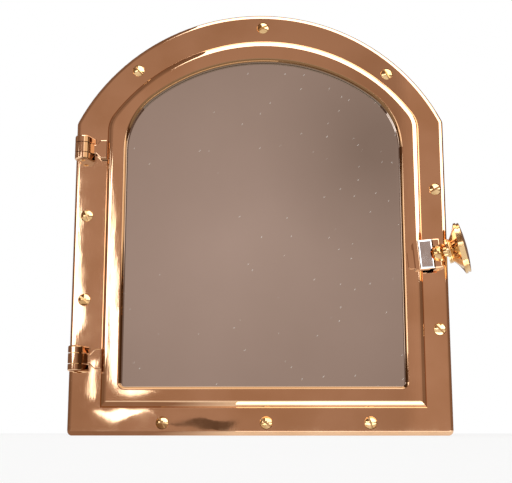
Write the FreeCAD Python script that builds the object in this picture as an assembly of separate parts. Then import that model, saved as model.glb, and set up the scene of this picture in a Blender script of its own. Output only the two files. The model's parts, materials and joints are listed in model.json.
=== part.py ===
import FreeCAD, Part
import math
import os
from collections import namedtuple

Vector = FreeCAD.Vector

# Porthole mirror: an arched frame on a wall, with a hinged door ring that holds the mirror.
# Millimetres. +X is right and +Z is up as seen from the front, and the wall is the plane Y = 0.
# "Proud" is the distance in front of the wall, so a point that stands proud has Y = -proud.

# Visible mirror
view_width = 228.0
view_side_height = 222.0
view_crown_rise = 52.1
view_corner = 3.0
view_shoulder = 57.0

# Door ring around it
door_ring_width = 17.0
door_crown_width = 19.0
door_shoulder = 25.0
door_thickness = 6.4
door_edge_round = 5.5
door_inner_round = 3.0
door_gap = 0.6
door_swing_clearance = 2.0

# Largest share of a plate's edge that a rounding takes
fullest_round = 0.95

# Flange that shows around the door
flange_left = 26.8
flange_right = 21.3
flange_foot = 21.9
flange_crown = 25.8
flange_proud = 13.0
flange_thickness = 4.5
frame_edge_round = 3.6
frame_corner = 4.0
frame_shoulder = 8.0
frame_skirt = 4.0
frame_collar = 4.0

# Mirror and what holds it in the door
glass_recess = 6.0
glass_lip = 3.5
glass_thickness = 4.0
glass_clearance = 0.3
gasket_thickness = 0.6
board_thickness = 2.5
door_collar = 5.0
retainer_thickness = 2.0
retainer_overlap = 7.0
retainer_screw_count = 10

# Rubber seal in a groove of the flange
seal_inset = 1.3
seal_width = 3.2
seal_depth = 1.5
seal_stand = 0.3
seal_clearance = 0.1

# Screws through the flange into the wall
wall_screw_head = 9.5
wall_screw_sink = 10.2
wall_screw_dome = 1.8
wall_screw_play = 0.06
wall_screw_shank = 5.0
wall_screw_thread = 4.6
wall_screw_grip = 18.0
wall_screw_tip = 6.0
wall_screw_slot = 1.6
wall_screw_slot_depth = 1.9
wall_screw_boss = 12.0
crown_screw_inset = 12.4
left_screw_inset = 11.0
right_screw_inset = 8.6
foot_screw_inset = 10.1
crown_screw_angles = (-40.3, 1.1, 42.7)
left_screw_heights = (109.6, 180.2)
right_screw_heights = (85.0, 201.7)
foot_screw_places = (-78.3, 5.2, 88.7)
screw_slot_turns = (-45.0, 30.0, -60.0, -38.0, -70.0)

# Small screws that hold the fittings from behind
fitting_screw = 3.0
fitting_screw_head = 5.6
fitting_screw_head_height = 2.0
fitting_hole_clearance = 0.1
thread_clearance = 0.03

# Hinges at the left
lower_hinge_height = 61.0
upper_hinge_drop = 24.7
hinge_reach = 19.4
hinge_length = 20.5
hinge_barrel = 13.0
hinge_middle = 8.0
hinge_knuckle_gap = 0.6
hinge_end_round = 1.3
hinge_base = 1.2
hinge_base_left = 2.8
hinge_base_right = 9.6
hinge_pin = 5.0
hinge_pin_dome = 0.8
hinge_running = 0.05
hinge_lift = 0.3
hinge_screw_offset = 2.0
arm_thickness = 4.1
arm_flank = 9.0
arm_flare_start = 10.2
arm_flare_length = 4.0
arm_flare_width = 16.0
arm_edge_round = 1.0
arm_tongue = 2.0
arm_tongue_length = 8.3
arm_screw_inset = 4.3
arm_end_gap = 0.15

# Latch at the right: a swing bolt on the frame and a slotted lug on the door
latch_height = 145.3
latch_reach = 11.6
latch_tilt = 13.0
lug_tilt = 5.0
latch_rise = 13.0
pivot_stand = 7.7
pivot_pin = 5.0
pivot_running = 0.05
pivot_pin_stand = 0.7
eye_radius = 6.4
eye_end_radius = 4.1
eye_width = 12.6
ear_gap = 0.3
ear_thickness = 4.4
ear_radius = 4.0
ear_base = 1.2
ear_foot_left = 5.0
ear_foot_right = 4.6
ear_screw_depth = 4.0
stud_diameter = 8.0
stud_length = 20.2
stud_chamfer = 1.0
stud_wall = 0.5

# Slotted lug on the door, with a bright keeper block across it
fork_clearance = 0.4
fork_thickness = 2.9
fork_width = 24.0
fork_reach = 1.8
fork_slot_clearance = 0.6
fork_corner = 2.0
fork_edge_round = 1.2
stem_offset = 7.85
stem_thickness = 11.75
lug_foot_length = 5.0
lug_foot_width = 15.0
lug_foot_drop = 2.6
lug_foot_thickness = 2.4
lug_screw_inset = 2.8
lug_screw_spacing = 9.0
lug_screw_depth = 4.5
keeper_thickness = 2.0
keeper_left_inset = 3.1
keeper_width = 12.4
keeper_edge_round = 1.8
keeper_rivet = 2.4
keeper_rivet_inset = 3.2

# Thumb nut and its washer on the swing bolt
washer_start = 8.1
washer_thickness = 1.5
washer_diameter = 20.0
nut_running = 0.05
nut_play = 0.1
nut_neck = 18.4
nut_bead = 1.6
nut_cone_length = 6.8
nut_flare_sag = 0.5
nut_rim = 42.0
nut_band = 2.0
nut_groove = 0.7
nut_groove_depth = 1.0
nut_top_band = 1.6
nut_top_step = 0.6
nut_dome = 1.8
nut_bore_depth = 11.0

# Heights above the frame's foot
view_foot = flange_foot + door_ring_width
springing = view_foot + view_side_height
view_top = springing + view_crown_rise
door_top = view_top + door_crown_width
frame_height = door_top + flange_crown
frame_foot = -frame_height / 2

# Widths across the frame
door_width = view_width + 2 * door_ring_width
frame_width = door_width + flange_left + flange_right
door_x = (flange_left - flange_right) / 2
door_left = door_x - door_width / 2
door_right = door_x + door_width / 2

# Depths, as distances in front of the wall
flange_back = flange_proud - flange_thickness
door_back = flange_proud + door_gap
door_face = door_back + door_thickness
glass_front = door_face - glass_recess
glass_back = glass_front - glass_thickness
board_back = glass_back - board_thickness
retainer_back = board_back - retainer_thickness

# Hole for a wall screw's shank
wall_screw_hole = wall_screw_shank + 2 * fitting_hole_clearance

# Hinge axis and latch pivot
hinge_heights = (lower_hinge_height, springing - upper_hinge_drop)
hinge_x = door_left - hinge_reach
hinge_proud = flange_proud + hinge_base + hinge_lift + hinge_barrel / 2
pivot_x = door_right + latch_reach
pivot_proud = flange_proud + pivot_stand
pivot_z = frame_foot + latch_height
fork_back = pivot_proud + ear_radius + fork_clearance
fork_face = fork_back + fork_thickness
keeper_back = fork_face - keeper_thickness
stem_right = pivot_x - stem_offset
stem_left = stem_right - stem_thickness
fork_end = pivot_x + fork_reach
keeper_left = stem_left + keeper_left_inset
keeper_right = keeper_left + keeper_width
ear_inner = eye_width / 2 + ear_gap
ear_outer = ear_inner + ear_thickness
nut_start = washer_start + washer_thickness + nut_play

HingeSpan = namedtuple("HingeSpan", "foot middle_low middle_high top")


def at(x, proud, z):
    """Point at x and z, standing proud of the wall."""
    return Vector(x, -proud, z)


def lines(points, closed=True):
    """Straight edges through points in turn."""
    ends = points[1:] + points[:1] if closed else points[1:]
    return [Part.LineSegment(a, b).toShape() for a, b in zip(points, ends)]


def arc(start, middle, end):
    """Circular edge through three points."""
    return Part.Arc(start, middle, end).toShape()


class Arch:
    """Outline with a flat foot, upright sides and a round crown, symmetric about an upright line."""

    def __init__(self, centre, half, foot, crown_radius, crown_centre, shoulder, corner):
        self.centre = centre
        self.half = half
        self.foot = foot
        self.crown_radius = crown_radius
        self.crown_centre = crown_centre
        self.shoulder = shoulder
        self.corner = corner

    @classmethod
    def standing(cls, centre, width, foot, springing_z, top, shoulder, corner):
        """Arch from its width, its foot, the height where the crown springs and its top."""
        rise = top - springing_z
        radius = (width**2 / 4 + rise**2) / (2 * rise)
        return cls(centre, width / 2, foot, radius, top - radius, shoulder, corner)

    def grown(self, by):
        """Parallel outline, further out by the given distance."""
        return Arch(
            self.centre,
            self.half + by,
            self.foot - by,
            self.crown_radius + by,
            self.crown_centre,
            max(self.shoulder + by, 0.0),
            max(self.corner + by, 0.0),
        )

    def top(self):
        return self.crown_centre + self.crown_radius

    def half_outline(self, side, proud):
        """Edges from the middle of the foot up one side to the top of the crown."""

        def spot(out, z):
            return at(self.centre + side * out, proud, z)

        def around(out, z, radius, angle):
            turn = math.radians(angle)
            return spot(out + radius * math.cos(turn), z + radius * math.sin(turn))

        shoulder_out = self.half - self.shoulder
        inner = self.crown_radius - self.shoulder
        shoulder_z = self.crown_centre + math.sqrt(inner**2 - shoulder_out**2)
        lean = math.degrees(math.atan2(shoulder_z - self.crown_centre, shoulder_out))
        crown_start = around(0.0, self.crown_centre, self.crown_radius, lean)
        crown_middle = around(0.0, self.crown_centre, self.crown_radius, (lean + 90) / 2)
        side_start = spot(self.half, self.foot + self.corner)
        side_end = spot(self.half, shoulder_z)
        edges = lines([spot(0.0, self.foot), spot(self.half - self.corner, self.foot)], closed=False)
        if self.corner > 0:
            corner_out = self.half - self.corner
            corner_z = self.foot + self.corner
            corner_middle = around(corner_out, corner_z, self.corner, -45)
            edges.append(arc(edges[-1].Vertexes[-1].Point, corner_middle, side_start))
        edges += lines([side_start, side_end], closed=False)
        if self.shoulder > 0:
            shoulder_middle = around(shoulder_out, shoulder_z, self.shoulder, lean / 2)
            edges.append(arc(side_end, shoulder_middle, crown_start))
        edges.append(arc(crown_start, crown_middle, spot(0.0, self.top())))
        return edges

    def wire(self, proud):
        edges = self.half_outline(1, proud) + self.half_outline(-1, proud)
        return Part.Wire(Part.__sortEdges__(edges))

    def slab(self, low, high):
        """Solid filling the outline between two distances in front of the wall."""
        return Part.Face(self.wire(low)).extrude(Vector(0, low - high, 0))


def ring(outer, inner, low, high):
    """Solid between two outlines."""
    return outer.slab(low, high).cut(inner.slab(low, high))


def peg(x, z, diameter, low, high):
    """Round peg standing straight out from the wall."""
    return Part.makeCylinder(diameter / 2, high - low, at(x, low, z), Vector(0, -1, 0))


def sink(x, z, mouth, bottom, mouth_proud, outward):
    """Cone that narrows from a mouth to a smaller bottom at 45 degrees; outward is the mouth's side."""
    depth = (mouth - bottom) / 2
    direction = Vector(0, outward, 0)
    return Part.makeCone(mouth / 2, bottom / 2, depth, at(x, mouth_proud, z), direction)


def turned(edges):
    """Solid turned about X from edges of a half profile in the XY plane."""
    face = Part.Face(Part.Wire(Part.__sortEdges__(edges)))
    return face.revolve(Vector(), Vector(1, 0, 0), 360)


def dome_arc(along, radius, height):
    """Edge of a low dome about X, from its rim at a place along X to its crown beyond it."""
    ball = (radius**2 + height**2) / (2 * abs(height))
    lean = math.asin(radius / ball) / 2
    drop = math.copysign(ball * (1 - math.cos(lean)), height)
    crown = along + height
    middle = Vector(crown - drop, ball * math.sin(lean), 0)
    return arc(Vector(along, radius, 0), middle, Vector(crown, 0, 0))


def limited_round(radius, wall):
    """Radius of a rounding, held within the edge of the plate that it is cut into."""
    return min(radius, fullest_round * wall)


def front_edges(shape, proud):
    """Edges that lie in the plane at a distance in front of the wall."""
    near = 1e-4
    chosen = []
    for edge in shape.Edges:
        box = edge.BoundBox
        if abs(box.YMin + proud) < near and abs(box.YMax + proud) < near:
            chosen.append(edge)
    return chosen


def edges_within(edges, outline):
    """Those edges that lie on or inside an outline's box."""
    near = 0.01
    chosen = []
    for edge in edges:
        box = edge.BoundBox
        across = max(abs(box.XMin - outline.centre), abs(box.XMax - outline.centre))
        if across < outline.half + near and box.ZMax < outline.top() + near:
            chosen.append(edge)
    return chosen


def tilted(shape, tilt):
    """A latch piece turned about the pivot in the plane of the wall."""
    shape.rotate(at(pivot_x, pivot_proud, pivot_z), Vector(0, 1, 0), -tilt)
    return shape


def swung_out(shape):
    """A piece of the swing bolt, made along X from the origin, at its place on the pivot."""
    shape.translate(at(pivot_x, pivot_proud, pivot_z))
    shape.rotate(at(pivot_x, pivot_proud, pivot_z), Vector(0, 0, 1), -latch_rise)
    return tilted(shape, latch_tilt)


# Outlines, from the visible mirror outwards
view = Arch.standing(
    door_x,
    view_width,
    frame_foot + view_foot,
    frame_foot + springing,
    frame_foot + view_top,
    view_shoulder,
    view_corner,
)
door_outline = Arch.standing(
    door_x,
    door_width,
    frame_foot + flange_foot,
    frame_foot + springing,
    frame_foot + door_top,
    door_shoulder,
    0.0,
)
frame_outline = Arch.standing(
    0.0,
    frame_width,
    frame_foot,
    frame_foot + springing,
    frame_foot + frame_height,
    frame_shoulder,
    frame_corner,
)
glass_pocket = view.grown(glass_lip)
door_collar_outline = glass_pocket.grown(door_collar)
frame_opening = door_collar_outline.grown(door_swing_clearance)


def wall_screw_spots():
    """Places of the screws in the flange: crown, left side, right side and foot."""
    spots = []
    crown_reach = frame_outline.crown_radius - crown_screw_inset
    for angle in crown_screw_angles:
        turn = math.radians(angle)
        rise = crown_reach * math.cos(turn)
        spots.append((crown_reach * math.sin(turn), frame_outline.crown_centre + rise))
    for height in left_screw_heights:
        spots.append((left_screw_inset - frame_width / 2, frame_foot + height))
    for height in right_screw_heights:
        spots.append((frame_width / 2 - right_screw_inset, frame_foot + height))
    for place in foot_screw_places:
        spots.append((place, frame_foot + foot_screw_inset))
    return spots


def hinge_span(height):
    """Z of the foot, the middle knuckle's ends and the top of a hinge at a height."""
    middle = frame_foot + height
    return HingeSpan(
        middle - hinge_length / 2,
        middle - hinge_middle / 2,
        middle + hinge_middle / 2,
        middle + hinge_length / 2,
    )


def hinge_screw_heights(height):
    """Z of the screws under a hinge's two outer knuckles."""
    span = hinge_span(height)
    low = (span.foot + span.middle_low - hinge_knuckle_gap) / 2
    high = (span.top + span.middle_high + hinge_knuckle_gap) / 2
    return low, high


def pivot_screw_spots():
    """Places of the screws under the ears of the pivot lug."""
    spots = []
    turn = math.radians(latch_tilt)
    for side in (-1, 1):
        across = side * (ear_inner + ear_outer) / 2
        spots.append((pivot_x - across * math.sin(turn), pivot_z + across * math.cos(turn)))
    return spots


def lug_screw_spots():
    """Places of the screws in the stem of the door lug."""
    spots = []
    turn = math.radians(lug_tilt)
    back = stem_offset + stem_thickness - lug_screw_inset
    for side in (-1, 1):
        across = side * lug_screw_spacing / 2
        x = pivot_x - back * math.cos(turn) - across * math.sin(turn)
        z = pivot_z - back * math.sin(turn) + across * math.cos(turn)
        spots.append((x, z))
    return spots


def fitting_spots():
    """Places of every screw that goes through the flange from behind into a fitting."""
    spots = []
    for height in hinge_heights:
        for z in hinge_screw_heights(height):
            spots.append((hinge_x + hinge_screw_offset, z))
    return spots + pivot_screw_spots()


def outer_frame():
    """Flange of the cast frame: rounded edge, the door's opening, a groove for the seal and screw holes."""
    body = frame_outline.slab(flange_back, flange_proud)
    edge_round = limited_round(frame_edge_round, flange_thickness)
    body = body.makeFillet(edge_round, front_edges(body, flange_proud))
    body = body.cut(frame_opening.slab(flange_back, flange_proud))
    groove_inner = frame_opening.grown(seal_inset)
    groove_outer = frame_opening.grown(seal_inset + seal_width)
    body = body.cut(ring(groove_outer, groove_inner, flange_proud - seal_depth, flange_proud))
    for x, z in wall_screw_spots():
        body = body.cut(peg(x, z, wall_screw_hole, flange_back, flange_proud))
        body = body.cut(sink(x, z, wall_screw_sink, wall_screw_hole, flange_proud, 1))
    for x, z in fitting_spots():
        body = body.cut(peg(x, z, fitting_screw + 2 * fitting_hole_clearance, flange_back, flange_proud))
    return body


def skirt_wall():
    """Rim of the cast frame behind the flange's outer edge."""
    return ring(frame_outline, frame_outline.grown(-frame_skirt), 0.0, flange_back)


def collar_wall():
    """Collar of the cast frame behind the flange's opening."""
    return ring(frame_opening.grown(frame_collar), frame_opening, 0.0, flange_back)


def screw_bosses():
    """Bosses of the cast frame behind the flange, each with the hole of a wall screw."""
    walls = skirt_wall().fuse(collar_wall())
    bosses = []
    for x, z in wall_screw_spots():
        boss = peg(x, z, wall_screw_boss, 0.0, flange_back).cut(walls)
        bosses.append(boss.cut(peg(x, z, wall_screw_hole, 0.0, flange_back)))
    return Part.makeCompound(bosses)


def wall_screw(x, z, turn):
    """Slotted raised countersunk screw, its rim sunk below the flange."""
    rim = wall_screw_play - (wall_screw_sink - wall_screw_head) / 2
    crown = rim + wall_screw_dome
    head = wall_screw_head / 2
    shank = wall_screw_shank / 2
    thread = wall_screw_thread / 2
    tip = -flange_proud - wall_screw_grip
    edges = [dome_arc(rim, head, wall_screw_dome)]
    edges += lines(
        [
            Vector(rim, head, 0),
            Vector(rim - head + shank, shank, 0),
            Vector(-flange_proud, shank, 0),
            Vector(-flange_proud, thread, 0),
            Vector(tip + wall_screw_tip, thread, 0),
            Vector(tip, 0, 0),
            Vector(crown, 0, 0),
        ],
        closed=False,
    )
    screw = turned(edges)
    slot = Part.makeBox(
        wall_screw_slot_depth,
        wall_screw_head,
        wall_screw_slot,
        Vector(crown - wall_screw_slot_depth, -wall_screw_head / 2, -wall_screw_slot / 2),
    )
    slot.rotate(Vector(), Vector(1, 0, 0), turn)
    screw = screw.cut(slot)
    screw.rotate(Vector(), Vector(0, 0, 1), -90)
    screw.translate(at(x, flange_proud, z))
    return screw


def frame_screws():
    screws = []
    for number, (x, z) in enumerate(wall_screw_spots()):
        turn = screw_slot_turns[number % len(screw_slot_turns)]
        screws.append(wall_screw(x, z, turn))
    return Part.makeCompound(screws)


def door_seal():
    """Rubber strip in the flange's groove, standing just short of the closed door."""
    outer = frame_opening.grown(seal_inset + seal_width - seal_clearance)
    inner = frame_opening.grown(seal_inset + seal_clearance)
    return ring(outer, inner, flange_proud - seal_depth, flange_proud + seal_stand)


def flank_touch(centre, radius, foot, side):
    """Point where a flank from a foot touches a round eye; side is 1 with the foot at its left, else -1."""
    away = foot - centre
    turn = math.acos(radius / away.Length)
    angle = math.atan2(away.y, away.x) + side * turn
    return centre + Vector(radius * math.cos(angle), radius * math.sin(angle), 0)


def eye_face(x, proud, radius, foot_left, foot_right, foot_proud):
    """Face across Z: a round eye on straight flanks that run down to a flat foot."""
    centre = at(x, proud, 0)
    left = at(x - foot_left, foot_proud, 0)
    right = at(x + foot_right, foot_proud, 0)
    left_touch = flank_touch(centre, radius, left, 1)
    right_touch = flank_touch(centre, radius, right, -1)
    crown = centre + Vector(0, -radius, 0)
    edges = lines([left_touch, left, right, right_touch], closed=False)
    edges.append(arc(right_touch, crown, left_touch))
    return Part.Face(Part.Wire(Part.__sortEdges__(edges)))


def risen(face, low, high):
    """Face across Z drawn out between two heights."""
    solid = face.extrude(Vector(0, 0, high - low))
    solid.translate(Vector(0, 0, low))
    return solid


def plate(left, right, low, high, foot, top):
    """Plate between two x, two distances in front of the wall and two heights."""
    return Part.makeBox(right - left, high - low, top - foot, at(left, high, foot))


def blind_hole(x, z, low, high):
    """Threaded hole for a fitting screw."""
    return peg(x, z, fitting_screw + 2 * thread_clearance, low, high)


def hinge_screw_end():
    """Distance in front of the wall where a hinge lug's screws end, short of the pin."""
    return hinge_proud - hinge_pin / 2 - hinge_lift


def rounded_end(knuckle, end_z):
    """Knuckle with its outer end rounded, except along its foot."""
    near = 1e-4
    chosen = []
    for edge in knuckle.Edges:
        box = edge.BoundBox
        at_end = abs(box.ZMin - end_z) < near and abs(box.ZMax - end_z) < near
        on_foot = abs(box.YMin + flange_proud) < near
        if at_end and not on_foot:
            chosen.append(edge)
    return knuckle.makeFillet(hinge_end_round, chosen)


def hinge_lug(height):
    """Frame half of a hinge: two knuckles on a base plate."""
    span = hinge_span(height)
    face = eye_face(hinge_x, hinge_proud, hinge_barrel / 2, hinge_base_left, hinge_base_right, flange_proud)
    lower = rounded_end(risen(face, span.foot, span.middle_low - hinge_knuckle_gap), span.foot)
    upper = rounded_end(risen(face, span.middle_high + hinge_knuckle_gap, span.top), span.top)
    base_left = hinge_x - hinge_base_left
    base_right = hinge_x + hinge_base_right
    base = plate(base_left, base_right, flange_proud, flange_proud + hinge_base, span.foot, span.top)
    lug = base.fuse(lower).fuse(upper).removeSplitter()
    bore = hinge_pin / 2 + thread_clearance
    lug = lug.cut(Part.makeCylinder(bore, hinge_length, at(hinge_x, hinge_proud, span.foot)))
    for z in hinge_screw_heights(height):
        lug = lug.cut(blind_hole(hinge_x + hinge_screw_offset, z, flange_proud, hinge_screw_end()))
    return lug


def domed_pin(diameter, length, dome):
    """Pin along X from the origin, with a low dome on each end."""
    radius = diameter / 2
    edges = [dome_arc(0, radius, -dome), dome_arc(length, radius, dome)]
    edges += lines([Vector(0, radius, 0), Vector(length, radius, 0)], closed=False)
    edges += lines([Vector(length + dome, 0, 0), Vector(-dome, 0, 0)], closed=False)
    return turned(edges)


def hinge_pin_piece(height):
    pin = domed_pin(hinge_pin, hinge_length, hinge_pin_dome)
    pin.rotate(Vector(), Vector(0, 1, 0), -90)
    pin.translate(at(hinge_x, hinge_proud, hinge_span(height).foot))
    return pin


def arm_tip():
    """X of the end of a hinge arm's tongue, inside the door ring."""
    return door_left + arm_tongue_length


def arm_plan(height):
    """Solid with a hinge arm's outline as seen from the front: a knuckle that flares out to the door."""
    middle = frame_foot + height
    left = hinge_x - hinge_barrel / 2
    flare = hinge_x + arm_flare_start
    full = flare + arm_flare_length
    knuckle = hinge_middle / 2
    wide = arm_flare_width / 2
    upper = [(left, knuckle), (flare, knuckle), (full, wide), (arm_tip(), wide)]
    lower = [(x, -out) for x, out in reversed(upper)]
    outline = [at(x, 0.0, middle + out) for x, out in upper + lower]
    return Part.Face(Part.Wire(lines(outline))).extrude(at(0.0, hinge_proud + hinge_barrel / 2, 0.0))


def arm_side_edges(arm, high):
    """Edges along the flared sides of a hinge arm's top."""
    near = 1e-4
    return [edge for edge in front_edges(arm, high) if edge.BoundBox.XLength > near]


def hinge_arm(height):
    """Door half of a hinge: the middle knuckle and a flared arm with a tongue let into the door ring."""
    span = hinge_span(height)
    radius = hinge_barrel / 2
    low = hinge_proud - radius
    high = low + arm_thickness
    end = door_left - arm_end_gap
    tip = arm_tip()
    centre = at(hinge_x, hinge_proud, 0)
    start = at(hinge_x, low, 0)
    foot = at(hinge_x + arm_flank, high, 0)
    touch = flank_touch(centre, radius, foot, -1)
    edges = [arc(start, at(hinge_x - radius, hinge_proud, 0), touch)]
    step = [at(end, high, 0), at(end, low + arm_tongue, 0), at(tip, low + arm_tongue, 0), at(tip, low, 0)]
    edges += lines([touch, foot] + step + [start], closed=False)
    face = Part.Face(Part.Wire(Part.__sortEdges__(edges)))
    middle = frame_foot + height
    arm = risen(face, middle - arm_flare_width / 2, middle + arm_flare_width / 2).common(arm_plan(height))
    arm = arm.makeFillet(arm_edge_round, arm_side_edges(arm, high))
    bore = hinge_pin / 2 + hinge_running
    arm = arm.cut(Part.makeCylinder(bore, hinge_length, at(hinge_x, hinge_proud, span.foot)))
    x, z = door_left + arm_screw_inset, frame_foot + height
    hole = fitting_screw + 2 * fitting_hole_clearance
    arm = arm.cut(peg(x, z, hole, low, low + arm_tongue))
    return arm.cut(sink(x, z, fitting_screw_head, hole, low, -1))


def fitting_screw_from_behind(x, z, seat, end):
    """Cheese-head screw: its head behind the seat and its shank running forward to the end."""
    head = peg(x, z, fitting_screw_head, seat - fitting_screw_head_height, seat)
    shank = peg(x, z, fitting_screw, seat, end)
    return head.fuse(shank).removeSplitter()


def flush_screw(x, z, mouth, end):
    """Countersunk screw from behind, flush with the mouth of its hole."""
    top = fitting_screw_head - 2 * thread_clearance
    head = sink(x, z, top, fitting_screw, mouth, -1)
    shank = peg(x, z, fitting_screw, mouth, end)
    return head.fuse(shank).removeSplitter()


def hinge_lug_screws():
    screws = []
    for height in hinge_heights:
        for z in hinge_screw_heights(height):
            x = hinge_x + hinge_screw_offset
            screws.append(fitting_screw_from_behind(x, z, flange_back, hinge_screw_end()))
    return Part.makeCompound(screws)


def arm_screw_end():
    """Distance in front of the wall where the hinge arms' screws end, inside the door ring."""
    return door_face - door_inner_round / 2


def hinge_arm_screws():
    screws = []
    for height in hinge_heights:
        x, z = door_left + arm_screw_inset, frame_foot + height
        screws.append(flush_screw(x, z, hinge_proud - hinge_barrel / 2, arm_screw_end()))
    return Part.makeCompound(screws)


def retainer_screw_spots():
    """Places of the retaining ring's screws, evenly round the middle of the door's collar."""
    wire = glass_pocket.grown(door_collar / 2).wire(0.0)
    points = wire.discretize(retainer_screw_count + 1)
    return [(p.x, p.z) for p in points[:-1]]


def door_ring():
    """Cast ring: rounded front, a collar behind that holds the glass, and notches for the fittings."""
    body = door_outline.slab(door_back, door_face)
    body = body.makeFillet(limited_round(door_edge_round, door_thickness), front_edges(body, door_face))
    body = body.fuse(door_collar_outline.slab(board_back, door_back)).removeSplitter()
    body = body.cut(view.slab(board_back, door_face))
    body = body.cut(glass_pocket.slab(board_back, glass_front + gasket_thickness))
    inner = edges_within(front_edges(body, door_face), view)
    body = body.makeFillet(door_inner_round, inner)
    tongue_top = hinge_proud - hinge_barrel / 2 + arm_tongue
    outside = door_left - hinge_reach
    half = arm_flare_width / 2
    for height in hinge_heights:
        x, z = door_left + arm_screw_inset, frame_foot + height
        body = body.cut(plate(outside, arm_tip(), flange_proud, tongue_top, z - half, z + half))
        body = body.cut(blind_hole(x, z, tongue_top, arm_screw_end()))
    hole = fitting_screw + 2 * fitting_hole_clearance
    for x, z in lug_screw_spots():
        body = body.cut(peg(x, z, hole, door_back, door_face))
        body = body.cut(sink(x, z, fitting_screw_head, hole, door_back, -1))
    for x, z in retainer_screw_spots():
        body = body.cut(blind_hole(x, z, board_back, retainer_screw_end()))
    return body


def retainer_screw_end():
    """Distance in front of the wall where the retaining ring's screws end."""
    return glass_front


def mirror_glass():
    return glass_pocket.grown(-glass_clearance).slab(glass_back, glass_front)


def glass_gasket():
    """Thin rubber ring between the glass and the door's lip."""
    return ring(
        glass_pocket.grown(-glass_clearance),
        view.grown(glass_clearance),
        glass_front,
        glass_front + gasket_thickness,
    )


def backing_board():
    return glass_pocket.grown(-glass_clearance).slab(board_back, glass_back)


def retaining_ring():
    """Flat ring behind the board, screwed to the door's collar."""
    inner = glass_pocket.grown(-retainer_overlap)
    body = ring(door_collar_outline, inner, retainer_back, board_back)
    hole = fitting_screw + 2 * fitting_hole_clearance
    for x, z in retainer_screw_spots():
        body = body.cut(peg(x, z, hole, retainer_back, board_back))
        body = body.cut(sink(x, z, fitting_screw_head, hole, retainer_back, -1))
    return body


def retaining_screws():
    spots = retainer_screw_spots()
    return Part.makeCompound([flush_screw(x, z, retainer_back, retainer_screw_end()) for x, z in spots])


def pivot_lug():
    """Frame half of the latch: two ears on a base plate."""
    face = eye_face(pivot_x, pivot_proud, ear_radius, ear_foot_left, ear_foot_right, flange_proud)
    lower = risen(face, pivot_z - ear_outer, pivot_z - ear_inner)
    upper = risen(face, pivot_z + ear_inner, pivot_z + ear_outer)
    base = plate(
        pivot_x - ear_foot_left,
        pivot_x + ear_foot_right,
        flange_proud,
        flange_proud + ear_base,
        pivot_z - ear_outer,
        pivot_z + ear_outer,
    )
    lug = base.fuse(lower).fuse(upper).removeSplitter()
    bore = pivot_pin / 2 + thread_clearance
    lug = lug.cut(Part.makeCylinder(bore, 2 * ear_outer, at(pivot_x, pivot_proud, pivot_z - ear_outer)))
    lug = tilted(lug, latch_tilt)
    for x, z in pivot_screw_spots():
        lug = lug.cut(blind_hole(x, z, flange_proud, pivot_screw_end()))
    return lug


def pivot_screw_end():
    """Distance in front of the wall where the pivot lug's screws end."""
    return flange_proud + ear_screw_depth


def pivot_lug_screws():
    screws = []
    for x, z in pivot_screw_spots():
        screws.append(fitting_screw_from_behind(x, z, flange_back, pivot_screw_end()))
    return Part.makeCompound(screws)


def pivot_pin_piece():
    pin = domed_pin(pivot_pin, 2 * ear_outer, pivot_pin_stand)
    pin.rotate(Vector(), Vector(0, 1, 0), -90)
    pin.translate(at(pivot_x, pivot_proud, pivot_z - ear_outer))
    return tilted(pin, latch_tilt)


def fork_slot(low, high):
    """Slot that the eye and the stud swing through, open to the right, with a round end."""
    radius = eye_width / 2 + fork_slot_clearance
    bottom = peg(pivot_x, pivot_z, 2 * radius, low, high)
    mouth = plate(pivot_x, fork_end + fork_corner, low, high, pivot_z - radius, pivot_z + radius)
    return bottom.fuse(mouth).removeSplitter()


def side_corners(shape, low):
    """Straight edges at the corners of the fork's width that reach past a distance from the wall."""
    near = 1e-3
    chosen = []
    for edge in shape.Edges:
        box = edge.BoundBox
        straight = box.XLength < near and box.ZLength < near
        at_side = abs(abs(box.ZMin - pivot_z) - fork_width / 2) < near
        if straight and at_side and box.YMin < -low:
            chosen.append(edge)
    return chosen


def lug_foot():
    """Plate on the door's face at the left of the lug, with rounded corners."""
    foot_left = stem_left - lug_foot_length
    middle = pivot_z - lug_foot_drop
    low = middle - lug_foot_width / 2
    high = middle + lug_foot_width / 2
    foot = plate(foot_left, stem_left, door_face, door_face + lug_foot_thickness, low, high)
    near = 1e-3
    corners = []
    for edge in foot.Edges:
        box = edge.BoundBox
        if box.XMax < foot_left + near and box.ZLength < near:
            corners.append(edge)
    return foot.makeFillet(fork_corner, corners)


def keeper_seat(left):
    """Space over the lug from a place at its left to the end of the keeper block."""
    low = pivot_z - fork_width / 2
    high = pivot_z + fork_width / 2
    return plate(left, keeper_right, keeper_back, fork_face, low, high)


def door_lug():
    """Cast lug: a foot on the door's face, a stem, and a slotted fork that reaches over the pivot."""
    outline = [
        at(stem_left, door_face, 0),
        at(stem_right, door_face, 0),
        at(stem_right, fork_back, 0),
        at(fork_end, fork_back, 0),
        at(fork_end, fork_face, 0),
        at(stem_left, fork_face, 0),
    ]
    face = Part.Face(Part.Wire(lines(outline)))
    body = risen(face, pivot_z - fork_width / 2, pivot_z + fork_width / 2)
    body = body.makeFillet(fork_corner, side_corners(body, fork_back))
    body = body.makeFillet(limited_round(fork_edge_round, fork_thickness), front_edges(body, fork_face))
    body = body.fuse(lug_foot()).removeSplitter()
    body = body.cut(fork_slot(fork_back, fork_face)).cut(keeper_seat(stem_left))
    for x, z in keeper_rivet_spots():
        body = body.cut(peg(x, z, keeper_rivet + 2 * thread_clearance, fork_back, fork_face))
    body = tilted(body, lug_tilt)
    for x, z in lug_screw_spots():
        body = body.cut(blind_hole(x, z, door_face, door_face + lug_screw_depth))
    return body


def keeper_rivet_spots():
    """Places of the keeper plate's rivets before the lug is tilted."""
    x = keeper_left + keeper_rivet_inset
    reach = fork_width / 2 - keeper_rivet_inset
    return [(x, pivot_z - reach), (x, pivot_z + reach)]


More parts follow.
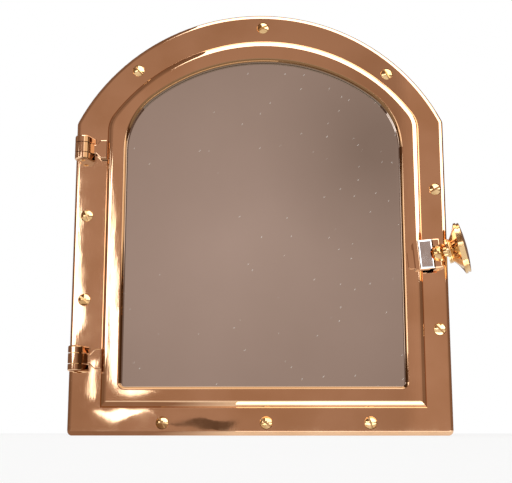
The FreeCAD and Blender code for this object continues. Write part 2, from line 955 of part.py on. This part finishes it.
def keeper_plate():
    """Bright block with rounded edges across the lug, flush with its prongs, under the nut's washer."""
    body = keeper_seat(keeper_left)
    body = body.makeFillet(limited_round(keeper_edge_round, keeper_thickness), front_edges(body, fork_face))
    body = body.cut(fork_slot(keeper_back, fork_face))
    for x, z in keeper_rivet_spots():
        body = body.cut(peg(x, z, keeper_rivet + 2 * thread_clearance, keeper_back, fork_face))
    return tilted(body, lug_tilt)


def keeper_rivets():
    rivets = [peg(x, z, keeper_rivet, fork_back, fork_face) for x, z in keeper_rivet_spots()]
    return tilted(Part.makeCompound(rivets), lug_tilt)


def door_lug_screws():
    spots = lug_screw_spots()
    return Part.makeCompound([flush_screw(x, z, door_back, door_face + lug_screw_depth) for x, z in spots])


def stud_start():
    """Distance from the pivot to the inner end of the stud, just outside the pin's bore."""
    return pivot_pin / 2 + pivot_running + stud_wall


def swing_eye():
    """Barrel-shaped eye on the pivot pin, with a threaded socket for the stud."""
    half = eye_width / 2
    bulge = arc(Vector(-half, eye_end_radius, 0), Vector(0, eye_radius, 0), Vector(half, eye_end_radius, 0))
    ends = lines(
        [
            Vector(half, eye_end_radius, 0),
            Vector(half, 0, 0),
            Vector(-half, 0, 0),
            Vector(-half, eye_end_radius, 0),
        ],
        closed=False,
    )
    eye = turned([bulge] + ends)
    eye.rotate(Vector(), Vector(0, 1, 0), 90)
    eye = eye.cut(Part.makeCylinder(pivot_pin / 2 + pivot_running, eye_width, Vector(0, 0, -half)))
    socket = stud_diameter / 2 + thread_clearance
    along = Vector(1, 0, 0)
    return swung_out(eye.cut(Part.makeCylinder(socket, eye_radius, Vector(stud_start(), 0, 0), along)))


def swing_stud():
    """Round stud screwed into the eye, on which the thumb nut runs."""
    radius = stud_diameter / 2
    start = stud_start()
    profile = [
        Vector(start, 0, 0),
        Vector(start, radius, 0),
        Vector(stud_length - stud_chamfer, radius, 0),
        Vector(stud_length, radius - stud_chamfer, 0),
        Vector(stud_length, 0, 0),
    ]
    return swung_out(turned(lines(profile)))


def nut_washer():
    start = Vector(washer_start, 0, 0)
    along = Vector(1, 0, 0)
    body = Part.makeCylinder(washer_diameter / 2, washer_thickness, start, along)
    hole = stud_diameter / 2 + nut_running
    return swung_out(body.cut(Part.makeCylinder(hole, washer_thickness, start, along)))


def thumb_nut():
    """Turned nut: a beaded neck, a flared cone, two bands parted by a groove, and a low dome."""
    neck = nut_neck / 2
    rim = nut_rim / 2
    groove = rim - nut_groove_depth
    top_band = rim - nut_top_step
    bead_end = nut_start + nut_bead
    cone_end = bead_end + nut_cone_length
    band_end = cone_end + nut_band
    groove_end = band_end + nut_groove
    top_end = groove_end + nut_top_band
    crown = top_end + nut_dome
    hole = stud_diameter / 2 + nut_running
    bottom = nut_start + nut_bore_depth
    bead_middle = Vector(nut_start + nut_bead / 2, neck + nut_bead / 2, 0)
    flare_middle = Vector((bead_end + cone_end) / 2 + nut_flare_sag, (neck + rim) / 2 - nut_flare_sag, 0)
    edges = lines([Vector(bottom, 0, 0), Vector(bottom, hole, 0), Vector(nut_start, hole, 0)], closed=False)
    edges += lines([Vector(nut_start, hole, 0), Vector(nut_start, neck, 0)], closed=False)
    edges.append(arc(Vector(nut_start, neck, 0), bead_middle, Vector(bead_end, neck, 0)))
    edges.append(arc(Vector(bead_end, neck, 0), flare_middle, Vector(cone_end, rim, 0)))
    edges += lines(
        [
            Vector(cone_end, rim, 0),
            Vector(band_end, rim, 0),
            Vector(band_end, groove, 0),
            Vector(groove_end, groove, 0),
            Vector(groove_end, top_band, 0),
            Vector(top_end, top_band, 0),
        ],
        closed=False,
    )
    edges.append(dome_arc(top_end, top_band, nut_dome))
    edges += lines([Vector(crown, 0, 0), Vector(bottom, 0, 0)], closed=False)
    return swung_out(turned(edges))


def all_nodes():
    """Every node of the part by name."""
    lower, upper = hinge_heights
    return {
        "outer_frame": outer_frame(),
        "frame_skirt_wall": skirt_wall(),
        "frame_collar_wall": collar_wall(),
        "frame_bosses": screw_bosses(),
        "frame_screws": frame_screws(),
        "door_seal": door_seal(),
        "upper_hinge_lug": hinge_lug(upper),
        "lower_hinge_lug": hinge_lug(lower),
        "upper_hinge_pin": hinge_pin_piece(upper),
        "lower_hinge_pin": hinge_pin_piece(lower),
        "hinge_lug_screws": hinge_lug_screws(),
        "pivot_lug": pivot_lug(),
        "pivot_pin": pivot_pin_piece(),
        "pivot_lug_screws": pivot_lug_screws(),
        "door_ring": door_ring(),
        "mirror_glass": mirror_glass(),
        "glass_gasket": glass_gasket(),
        "backing_board": backing_board(),
        "retaining_ring": retaining_ring(),
        "retaining_screws": retaining_screws(),
        "upper_hinge_arm": hinge_arm(upper),
        "lower_hinge_arm": hinge_arm(lower),
        "hinge_arm_screws": hinge_arm_screws(),
        "door_lug": door_lug(),
        "door_lug_screws": door_lug_screws(),
        "keeper_plate": keeper_plate(),
        "keeper_rivets": keeper_rivets(),
        "swing_eye": swing_eye(),
        "swing_stud": swing_stud(),
        "nut_washer": nut_washer(),
        "thumb_nut": thumb_nut(),
    }


os.makedirs("parts", exist_ok=True)
for node, shape in all_nodes().items():
    shape.exportStep(os.path.join("parts", node + ".step"))
    print(node, len(shape.Solids), "solids, valid", shape.isValid(), round(shape.Volume / 1000, 2), "cm3")
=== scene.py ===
import json
import math

import bpy
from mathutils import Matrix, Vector


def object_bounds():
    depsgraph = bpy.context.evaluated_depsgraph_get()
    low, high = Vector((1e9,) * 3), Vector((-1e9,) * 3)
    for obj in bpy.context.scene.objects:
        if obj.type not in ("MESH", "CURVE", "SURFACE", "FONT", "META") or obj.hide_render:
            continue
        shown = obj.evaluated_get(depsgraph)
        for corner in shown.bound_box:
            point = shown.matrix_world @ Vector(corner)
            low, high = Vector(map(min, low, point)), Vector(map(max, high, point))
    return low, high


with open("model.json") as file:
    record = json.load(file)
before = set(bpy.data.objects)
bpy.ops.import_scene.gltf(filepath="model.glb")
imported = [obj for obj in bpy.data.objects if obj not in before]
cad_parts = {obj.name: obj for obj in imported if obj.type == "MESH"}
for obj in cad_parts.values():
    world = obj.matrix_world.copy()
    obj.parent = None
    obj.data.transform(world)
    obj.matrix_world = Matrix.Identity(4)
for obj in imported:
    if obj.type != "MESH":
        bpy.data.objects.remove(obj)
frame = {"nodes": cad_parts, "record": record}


def corners():
    """Lowest and highest corner of what is shown, as plain lists."""
    low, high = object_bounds()
    return [list(low), list(high)]


cad_box = corners()

# Camera, in metres and degrees: level with the frame's foot and looking a little up, as in the photograph
image_width = 512
focal_pixels = 1000.0
sensor_width = 36.0
camera_place = (0.01115, -0.8262, -0.17684)
camera_pitch = 100.847
camera_yaw = 0.992
camera_near = 0.001

# Lamp for the dull surfaces, in metres and watts
lamp_place = (-1.3, -1.1, 1.2)
lamp_aim = (0.0, 0.0, 0.0)
lamp_size = 0.9
lamp_power = 10.0

# Finishes, as linear colours
rose_brass = (0.90, 0.585, 0.365)
rose_tarnish = (0.80, 0.495, 0.285)
# Dark brown of the painted shade on the casting's faces that turn toward the glass
glass_side_shade = (0.24, 0.125, 0.055)
yellow_brass = (0.84, 0.57, 0.29)
yellow_tarnish = (0.58, 0.345, 0.145)
sheet_brass = (0.66, 0.47, 0.24)
sheet_tarnish = (0.45, 0.29, 0.13)
nickel = (0.80, 0.82, 0.85)
nickel_shade = (0.72, 0.745, 0.78)
silvering = (0.76, 0.755, 0.74)
silver_haze = (0.70, 0.69, 0.67)
dust_colour = (0.80, 0.76, 0.70)
rubber_black = (0.020, 0.019, 0.018)
rubber_grey = (0.055, 0.053, 0.050)
board_brown = (0.23, 0.135, 0.075)
board_dark = (0.135, 0.075, 0.04)
zinc = (0.62, 0.62, 0.60)
zinc_shade = (0.42, 0.42, 0.40)
white = (1.0, 1.0, 1.0)

# Range that holds most values of a noise
noise_low = 0.3
noise_high = 0.7

# Dust on the mirror: leaning specks in some cells of a pattern, and in more of them to the right
speck_cells = 160.0
speck_lean = -40.0
speck_stretch = 0.4
speck_core = 0.035
speck_edge = 0.08
speck_first = 0.93
speck_full = 0.99
speck_strength = 0.45
crowd_left = -0.06
crowd_right = 0.09
crowd_share = 0.14

# Stage, in metres: a pale floor, and a dark room around the object that only shiny surfaces show
floor_half = 6.0
floor_colour = (0.80, 0.79, 0.78)
floor_pale = (0.83, 0.82, 0.81)
floor_glow = 0.72
room_light = 0.85
room_front = -4.0
room_side = 3.8
room_top = 3.2
room_back = 3.0

# Front wall of the room: light in the middle and at the far right, and dark in one corner
card_light = (0.52, 0.365, 0.30)
card_dark = (0.31, 0.21, 0.165)
card_middle = (-0.20, room_front, 0.74)
card_reach = 1.82
card_corner = (0.51, room_front, 1.20)
corner_reach = 0.58
corner_depth = 0.6
sheen_left = 0.62
sheen_right = 0.70
sheen_share = 0.6

# Other walls of the room, the dimness of its dark shape, and a soft dark oval on the floor
shade_light = (0.30, 0.20, 0.15)
shade_dark = (0.15, 0.095, 0.07)
shadow_light = 0.45
spot_middle = (-0.16, -0.04)
spot_reach = (0.15, 0.08)
spot_core = 0.6

# Light panels on the walls, the ceiling and the floor
panel_light = 3.5
panel_cool = (0.92, 0.95, 1.0)
panel_step = 0.02
floor_step = 0.0002
side_window_foot = 0.26
side_window_top = 1.31
side_window_back = -2.46
right_panel_left = 1.22
right_panel_foot = 0.74
right_panel_back = -0.74
top_panel_left = -0.87
top_panel_foot = 2.27
top_panel_back = 0.22
low_panel_left = -0.02
low_panel_right = 0.45
low_panel_front = -0.10
low_panel_back = -0.03

# Light shapes and one dark shape on the front wall, as x and height above the floor
front_shapes = {
    "left_window": (
        (-room_side, 0.38),
        (-0.945, 0.38),
        (-0.905, 0.50),
        (-0.93, 0.98),
        (-0.97, 1.38),
        (-room_side, 1.38),
    ),
    "door_blade": (
        (-0.77, 0.25),
        (-0.735, 0.21),
        (-0.715, 0.25),
        (-0.73, 0.58),
        (-0.76, 0.90),
        (-0.785, 1.25),
        (-0.785, 0.70),
    ),
    "corner_blade": ((-0.735, 0.20), (-0.665, 0.18), (-0.54, 0.19), (-0.645, 0.215)),
    "flange_blade": ((-0.86, 0.19), (-0.845, 0.155), (-0.835, 0.19), (-0.835, 0.335), (-0.855, 0.335)),
    "foot_blade": ((-0.845, 0.10), (-0.74, 0.06), (-0.555, 0.105), (-0.70, 0.115)),
}
low_shadow = ((-0.49, 0.055), (-0.20, 0.01), (-0.145, 0.06), (-0.32, 0.075))


class Nodes:
    """The node tree of a material or world, with short calls that add and join nodes."""

    def __init__(self, owner):
        self.owner = owner
        owner.use_nodes = True
        self.tree = owner.node_tree
        self.tree.nodes.clear()

    def join(self, value, socket):
        """Sets a socket to a value, or joins it to another socket."""
        if isinstance(value, bpy.types.NodeSocket):
            self.tree.links.new(value, socket)
        elif socket.type == "RGBA":
            socket.default_value = (*value, 1.0)
        else:
            socket.default_value = value

    def add(self, kind, inputs=()):
        """A node of a kind with some of its inputs given as name or number and value."""
        node = self.tree.nodes.new(kind)
        for name, value in dict(inputs).items():
            self.join(value, node.inputs[name])
        return node

    def place(self):
        """The point in the part's own frame."""
        return self.add("ShaderNodeTexCoord").outputs["Object"]

    def across(self):
        """The x of the point in the part's own frame."""
        return self.add("ShaderNodeSeparateXYZ", {"Vector": self.place()}).outputs["X"]

    def point(self, stretch=(1.0, 1.0, 1.0), turn=(0.0, 0.0, 0.0)):
        """The point in the part's own frame, turned and then stretched."""
        turned = self.add("ShaderNodeMapping", {"Vector": self.place(), "Rotation": turn}).outputs["Vector"]
        return self.add("ShaderNodeMapping", {"Vector": turned, "Scale": stretch}).outputs["Vector"]

    def noise(self, point, scale, detail):
        """Soft random value from 0 to 1; scale is the number of patches in a unit of the point's length."""
        node = self.add("ShaderNodeTexNoise", {"Vector": point, "Scale": scale, "Detail": detail})
        return node.outputs["Fac"]

    def ramp(self, value, first, second, start=0.0, end=1.0):
        """Colour that goes from the first to the second as a value goes from start to end."""
        node = self.add("ShaderNodeValToRGB", {"Fac": value})
        low, high = node.color_ramp.elements
        low.position = start
        low.color = (*first, 1.0)
        high.position = end
        high.color = (*second, 1.0)
        return node.outputs["Color"]

    def blend(self, share, first, second):
        """Colour between two colours; a share of 1 gives the second."""
        node = self.add("ShaderNodeMixRGB", {"Fac": share, "Color1": first, "Color2": second})
        return node.outputs["Color"]

    def mix(self, share, first, second):
        """Shader between two shaders; a share of 1 gives the second."""
        return self.add("ShaderNodeMixShader", {"Fac": share, 1: first, 2: second}).outputs["Shader"]

    def spread(self, value, low, high, to_low, to_high):
        """A value carried from one range to another, and held at its ends."""
        limits = {"Value": value, "From Min": low, "From Max": high, "To Min": to_low, "To Max": to_high}
        return self.add("ShaderNodeMapRange", limits).outputs["Result"]

    def varied(self, noise, least, most):
        """A value that goes from least to most with a noise."""
        return self.spread(noise, noise_low, noise_high, least, most)

    def number(self, operation, first, second):
        """Result of an operation on two numbers, held between 0 and 1."""
        node = self.add("ShaderNodeMath", {0: first, 1: second})
        node.operation = operation
        node.use_clamp = True
        return node.outputs["Value"]

    def vector(self, operation, first, second=(0.0, 0.0, 0.0)):
        """Result of a vector operation: a vector, or a value where the operation gives one."""
        node = self.add("ShaderNodeVectorMath", {0: first, 1: second})
        node.operation = operation
        is_value = operation in ("DISTANCE", "DOT_PRODUCT", "LENGTH")
        return node.outputs["Value" if is_value else "Vector"]

    def inward(self):
        """How far a surface faces the middle of the mirror: 1 towards it, 0 ahead, -1 away from it."""
        facing = self.add("ShaderNodeTexCoord").outputs["Normal"]
        to_middle = self.vector("NORMALIZE", self.vector("MULTIPLY", self.place(), (-1.0, 0.0, -1.0)))
        return self.vector("DOT_PRODUCT", facing, to_middle)

    def bump(self, height, depth, under=None):
        """Surface normal for a height from 0 to 1 that stands for a depth in metres."""
        node = self.add("ShaderNodeBump", {"Height": height, "Distance": depth})
        if under is not None:
            self.join(under, node.inputs["Normal"])
        return node.outputs["Normal"]

    def surface(self, colour, metal, roughness, normal=None):
        """The usual surface shader."""
        inputs = {"Base Color": colour, "Metallic": metal, "Roughness": roughness}
        node = self.add("ShaderNodeBsdfPrincipled", inputs)
        if normal is not None:
            self.join(normal, node.inputs["Normal"])
        return node.outputs["BSDF"]

    def glow(self, colour, strength=1.0):
        """Shader that gives off light."""
        return self.add("ShaderNodeEmission", {"Color": colour, "Strength": strength}).outputs["Emission"]

    def finish(self, shader, kind="ShaderNodeOutputMaterial"):
        """The material or world, with its shader in place."""
        self.add(kind, {"Surface": shader})
        return self.owner


def new_material(name):
    """The empty node tree of a new material."""
    return Nodes(bpy.data.materials.new(name))


def cast_brass():
    """Hand-polished casting: mottled rose brass with slow waves, fine polishing marks, and painted shade
    that darkens the edges that face the glass.
    """
    nodes = new_material("cast_brass")
    point = nodes.point()
    mottle = nodes.noise(point, scale=16.0, detail=4.0)
    polished = nodes.ramp(mottle, rose_tarnish, rose_brass, start=0.34, end=0.56)
    # Painted shade: faces that turn toward the middle of the glass are blended toward dark brown
    glass_side_shading = nodes.spread(nodes.inward(), low=0.05, high=0.35, to_low=0.0, to_high=1.0)
    colour = nodes.blend(glass_side_shading, polished, glass_side_shade)
    roughness = nodes.varied(nodes.noise(point, scale=70.0, detail=4.0), least=0.012, most=0.045)
    waves = nodes.bump(nodes.noise(point, scale=30.0, detail=1.0), depth=0.00007)
    strokes = nodes.noise(nodes.point(stretch=(500.0, 500.0, 90.0)), scale=1.0, detail=3.0)
    marks = nodes.bump(strokes, depth=0.000004, under=waves)
    return nodes.finish(nodes.surface(colour, metal=1.0, roughness=roughness, normal=marks))


def turned_brass():
    """Yellow brass turned on a lathe and polished, a little tarnished."""
    nodes = new_material("turned_brass")
    point = nodes.point()
    mottle = nodes.noise(point, scale=90.0, detail=4.0)
    colour = nodes.ramp(mottle, yellow_tarnish, yellow_brass, start=0.34, end=0.58)
    roughness = nodes.varied(nodes.noise(point, scale=240.0, detail=3.0), least=0.06, most=0.16)
    ripple = nodes.bump(nodes.noise(point, scale=300.0, detail=1.0), depth=0.000008)
    return nodes.finish(nodes.surface(colour, metal=1.0, roughness=roughness, normal=ripple))


def rolled_brass():
    """Dull sheet brass with long rolling marks."""
    nodes = new_material("retainer_brass")
    mottle = nodes.noise(nodes.point(), scale=30.0, detail=5.0)
    colour = nodes.ramp(mottle, sheet_tarnish, sheet_brass, start=0.32, end=0.62)
    marks = nodes.noise(nodes.point(stretch=(30.0, 30.0, 900.0)), scale=1.0, detail=3.0)
    roughness = nodes.varied(marks, least=0.26, most=0.42)
    relief = nodes.bump(marks, depth=0.00001)
    return nodes.finish(nodes.surface(colour, metal=1.0, roughness=roughness, normal=relief))


def keeper_nickel():
    """Bright plate, a little uneven."""
    nodes = new_material("keeper_nickel")
    point = nodes.point()
    shade = nodes.noise(point, scale=150.0, detail=2.0)
    colour = nodes.ramp(shade, nickel_shade, nickel, start=0.35, end=0.6)
    roughness = nodes.varied(nodes.noise(point, scale=200.0, detail=1.0), least=0.05, most=0.14)
    ripple = nodes.bump(nodes.noise(point, scale=110.0, detail=0.0), depth=0.0003)
    return nodes.finish(nodes.surface(colour, metal=1.0, roughness=roughness, normal=ripple))


def dust_share(nodes):
    """How much dust covers a point of the mirror."""
    upright_to_flat = math.radians(90.0)
    turn = (upright_to_flat, 0.0, math.radians(speck_lean))
    leaning = nodes.point(stretch=(1.0, speck_stretch, 1.0), turn=turn)
    cells = nodes.add("ShaderNodeTexVoronoi", {"Vector": leaning, "Scale": speck_cells})
    cells.voronoi_dimensions = "2D"
    near = nodes.spread(cells.outputs["Distance"], speck_core, speck_edge, 1.0, 0.0)
    chance = nodes.add("ShaderNodeSeparateColor", {"Color": cells.outputs["Color"]}).outputs["Red"]
    crowd = nodes.spread(nodes.across(), crowd_left, crowd_right, 0.0, crowd_share)
    chosen = nodes.number("ADD", chance, crowd)
    kept = nodes.spread(chosen, speck_first, speck_full, 0.0, speck_strength)
    return nodes.number("MULTIPLY", near, kept)


def mirror():
    """Silvered glass with scattered specks of dust and a faint haze."""
    nodes = new_material("mirror")
    haze = nodes.noise(nodes.point(), scale=9.0, detail=4.0)
    colour = nodes.ramp(haze, silver_haze, silvering, noise_low, noise_high)
    glass = nodes.surface(colour, metal=1.0, roughness=nodes.varied(haze, least=0.0, most=0.02))
    dust = nodes.surface(dust_colour, metal=0.0, roughness=0.9)
    return nodes.finish(nodes.mix(dust_share(nodes), glass, dust))


def rubber():
    """Matt black rubber with a fine grain."""
    nodes = new_material("rubber")
    grain = nodes.noise(nodes.point(), scale=900.0, detail=3.0)
    colour = nodes.ramp(grain, rubber_black, rubber_grey, start=0.35, end=0.75)
    relief = nodes.bump(grain, depth=0.0001)
    return nodes.finish(nodes.surface(colour, metal=0.0, roughness=0.75, normal=relief))


def board():
    """Hardboard: brown, flecked with fibres."""
    nodes = new_material("board")
    fibres = nodes.noise(nodes.point(stretch=(260.0, 1.0, 420.0)), scale=1.0, detail=6.0)
    colour = nodes.ramp(fibres, board_dark, board_brown, start=0.35, end=0.62)
    relief = nodes.bump(fibres, depth=0.0002)
    return nodes.finish(nodes.surface(colour, metal=0.0, roughness=0.8, normal=relief))


def zinc_screws():
    """Small plated screws with a blotchy plating."""
    nodes = new_material("small_screws")
    point = nodes.point()
    blotches = nodes.noise(point, scale=500.0, detail=3.0)
    colour = nodes.ramp(blotches, zinc_shade, zinc, start=0.35, end=0.65)
    roughness = nodes.varied(nodes.noise(point, scale=900.0, detail=2.0), least=0.25, most=0.4)
    return nodes.finish(nodes.surface(colour, metal=1.0, roughness=roughness))


finishes = {
    "cast_brass": cast_brass(),
    "turned_brass": turned_brass(),
    "retainer_brass": rolled_brass(),
    "keeper_nickel": keeper_nickel(),
    "mirror": mirror(),
    "rubber": rubber(),
    "board": board(),
    "small_screws": zinc_screws(),
}


def paint_nodes():
    """Gives each node of the part the finish of its slot in the record."""
    for part in frame["record"]["subparts"]:
        mesh = frame["nodes"][part["node"]].data
        mesh.materials.clear()
        mesh.materials.append(finishes[part["material_slot"]])


def new_object(name, data):
    """An object of the scene with some data."""
    thing = bpy.data.objects.new(name, data)
    bpy.context.scene.collection.objects.link(thing)
    return thing


def flat_piece(name, points, material):
    """A flat polygon of the stage."""
    mesh = bpy.data.meshes.new(name)
    mesh.from_pydata(points, [], [list(range(len(points)))])
    mesh.materials.append(material)
    piece = new_object(name, mesh)
    return piece


def seen_directly(nodes):
    """1 for rays from the camera, from shiny surfaces and through glass, and 0 for dull surfaces."""
    path = nodes.add("ShaderNodeLightPath")
    seen = path.outputs["Is Camera Ray"]
    for name in ("Is Glossy Ray", "Is Transmission Ray"):
        seen = nodes.number("ADD", seen, path.outputs[name])
    return seen


def floor_material():
    """Pale floor that looks white and still shows the object's shadow."""
    nodes = new_material("floor")
    tone = nodes.noise(nodes.point(), scale=3.0, detail=2.0)
    colour = nodes.ramp(tone, floor_colour, floor_pale)
    dull = nodes.add("ShaderNodeBsdfDiffuse", {"Color": colour}).outputs["BSDF"]
    share = nodes.number("MULTIPLY", seen_directly(nodes), floor_glow)
    return nodes.finish(nodes.mix(share, dull, nodes.glow(white)))


def glowing(name, colour_of, strength=1.0):
    """Material that gives off light in a colour that a function makes from its nodes."""
    nodes = new_material(name)
    return nodes.finish(nodes.glow(colour_of(nodes), strength))


def card_colour(nodes):
    """Warm grey that the mirror and the flat faces show: light in the middle and at the far right, and dark
    in one corner.
    """
    from_middle = nodes.vector("DISTANCE", nodes.place(), card_middle)
    outer = nodes.spread(from_middle, 0.0, card_reach, 0.0, 1.0)
    from_corner = nodes.vector("DISTANCE", nodes.place(), card_corner)
    corner = nodes.spread(from_corner, 0.0, corner_reach, corner_depth, 0.0)
    colour = nodes.ramp(nodes.number("ADD", outer, corner), card_light, card_dark)
    sheen = nodes.spread(nodes.across(), sheen_left, sheen_right, 0.0, sheen_share)
    return nodes.blend(sheen, colour, card_light)


def shade_colour(nodes):
    """Dark wall of the room, a little uneven."""
    tone = nodes.noise(nodes.point(), scale=1.5, detail=2.0)
    return nodes.ramp(tone, shade_dark, shade_light, noise_low, noise_high)


def panel_colour(nodes):
    """White light panel, a little uneven."""
    tone = nodes.noise(nodes.point(), scale=1.0, detail=2.0)
    return nodes.ramp(tone, panel_cool, white)


def dark_spot(foot):
    """Soft dark oval on the floor, which keeps the left of the lower edges dark."""
    nodes = new_material("dark_spot")
    from_middle = nodes.vector("SUBTRACT", nodes.place(), (*spot_middle, foot))
    outward = nodes.vector("LENGTH", nodes.vector("DIVIDE", from_middle, (*spot_reach, 1.0)))
    share = nodes.spread(outward, spot_core, 1.0, 1.0, 0.0)
    clear = nodes.add("ShaderNodeBsdfTransparent").outputs["BSDF"]
    return nodes.finish(nodes.mix(share, clear, nodes.glow(card_dark)))


def front_piece(y, left, right, foot, top):
    """Corners of an upright piece that faces the mirror."""
    return [(left, y, foot), (right, y, foot), (right, y, top), (left, y, top)]


def side_piece(x, front, back, foot, top):
    """Corners of an upright piece at the room's side."""
    return [(x, front, foot), (x, back, foot), (x, back, top), (x, front, top)]


def level_piece(z, left, right, front, back):
    """Corners of a level piece."""
    return [(left, front, z), (right, front, z), (right, back, z), (left, back, z)]


def spot_piece(z):
    """Corners of the level piece that holds the dark spot."""
    (x, y), (reach_x, reach_y) = spot_middle, spot_reach
    return level_piece(z, x - reach_x, x + reach_x, y - reach_y, y + reach_y)


def front_shape(shape, foot):
    """Corners of a shape that hangs a step inside the front wall."""
    return [(x, room_front + panel_step, foot + height) for x, height in shape]


def dark_pieces(foot):
    """Corners and material of each wall and dark shape of the room."""
    card = glowing("card", card_colour)
    shade = glowing("shade", shade_colour)
    shadow = glowing("shadow", shade_colour, shadow_light)
    side, front, back, top = room_side, room_front, room_back, room_top
    return {
        "front_card": (front_piece(front, -side, side, foot, top), card),
        "left_wall": (side_piece(-side, front, back, foot, top), shade),
        "right_wall": (side_piece(side, front, back, foot, top), shade),
        "back_wall": (front_piece(back, -side, side, foot, top), shade),
        "ceiling": (level_piece(top, -side, side, front, back), shade),
        "low_shadow": (front_shape(low_shadow, foot), shadow),
        "dark_spot": (spot_piece(foot + floor_step), dark_spot(foot)),
    }


def light_pieces(foot):
    """Corners and material of each light panel, which lies a step inside its wall, ceiling or floor."""
    side, front, top = room_side - panel_step, room_front + panel_step, room_top - panel_step
    above_spot = foot + 2 * floor_step
    shapes = {
        "side_window": side_piece(-side, front, side_window_back, side_window_foot, side_window_top),
        "front_panel": front_piece(front, right_panel_left, side, right_panel_foot, top),
        "right_panel": side_piece(side, front, right_panel_back, right_panel_foot, top),
        "top_panel": level_piece(top, top_panel_left, side, front, top_panel_back),
        "crown_panel": front_piece(front, top_panel_left, side, top_panel_foot, top),
        "low_panel": level_piece(
            above_spot, low_panel_left, low_panel_right, low_panel_front, low_panel_back
        ),
    }
    for name, shape in front_shapes.items():
        shapes[name] = front_shape(shape, foot)
    panel = glowing("panel", panel_colour, panel_light)
    return {name: (points, panel) for name, points in shapes.items()}


def build_room(foot):
    """Walls and light panels that only shiny surfaces show."""
    pieces = dark_pieces(foot) | light_pieces(foot)
    for name, (points, material) in pieces.items():
        piece = flat_piece(name, points, material)
        piece.visible_camera = False
        piece.visible_diffuse = False
        piece.visible_shadow = False


def build_stage():
    """Floor under the object, and the room that it mirrors."""
    foot = cad_box[0][2]
    floor = level_piece(foot, -floor_half, floor_half, -floor_half, floor_half)
    flat_piece("floor", floor, floor_material())
    build_room(foot)


def build_world():
    """White surroundings, which light dull surfaces at a plain level."""
    world = bpy.data.worlds.new("surroundings")
    bpy.context.scene.world = world
    nodes = Nodes(world)
    strength = nodes.spread(seen_directly(nodes), 0.0, 1.0, room_light, 1.0)
    sky = nodes.add("ShaderNodeBackground", {"Color": white, "Strength": strength})
    nodes.finish(sky.outputs["Background"], "ShaderNodeOutputWorld")


def build_lamp():
    """Soft square lamp, which shiny surfaces don't show."""
    data = bpy.data.lights.new("key", "AREA")
    data.size = lamp_size
    data.energy = lamp_power
    lamp = new_object("key", data)
    lamp.location = lamp_place
    lamp.rotation_euler = (Vector(lamp_aim) - Vector(lamp_place)).to_track_quat("-Z", "Y").to_euler()
    lamp.visible_glossy = False


def build_camera():
    """Camera at the photograph's place and angle."""
    data = bpy.data.cameras.new("camera")
    data.sensor_fit = "HORIZONTAL"
    data.sensor_width = sensor_width
    data.lens = focal_pixels * sensor_width / image_width
    data.clip_start = camera_near
    camera = new_object("camera", data)
    camera.location = camera_place
    camera.rotation_euler = (math.radians(camera_pitch), 0.0, math.radians(camera_yaw))
    bpy.context.scene.camera = camera


paint_nodes()
build_stage()
build_world()
build_lamp()
build_camera()
bpy.context.scene.view_settings.view_transform = "Standard"
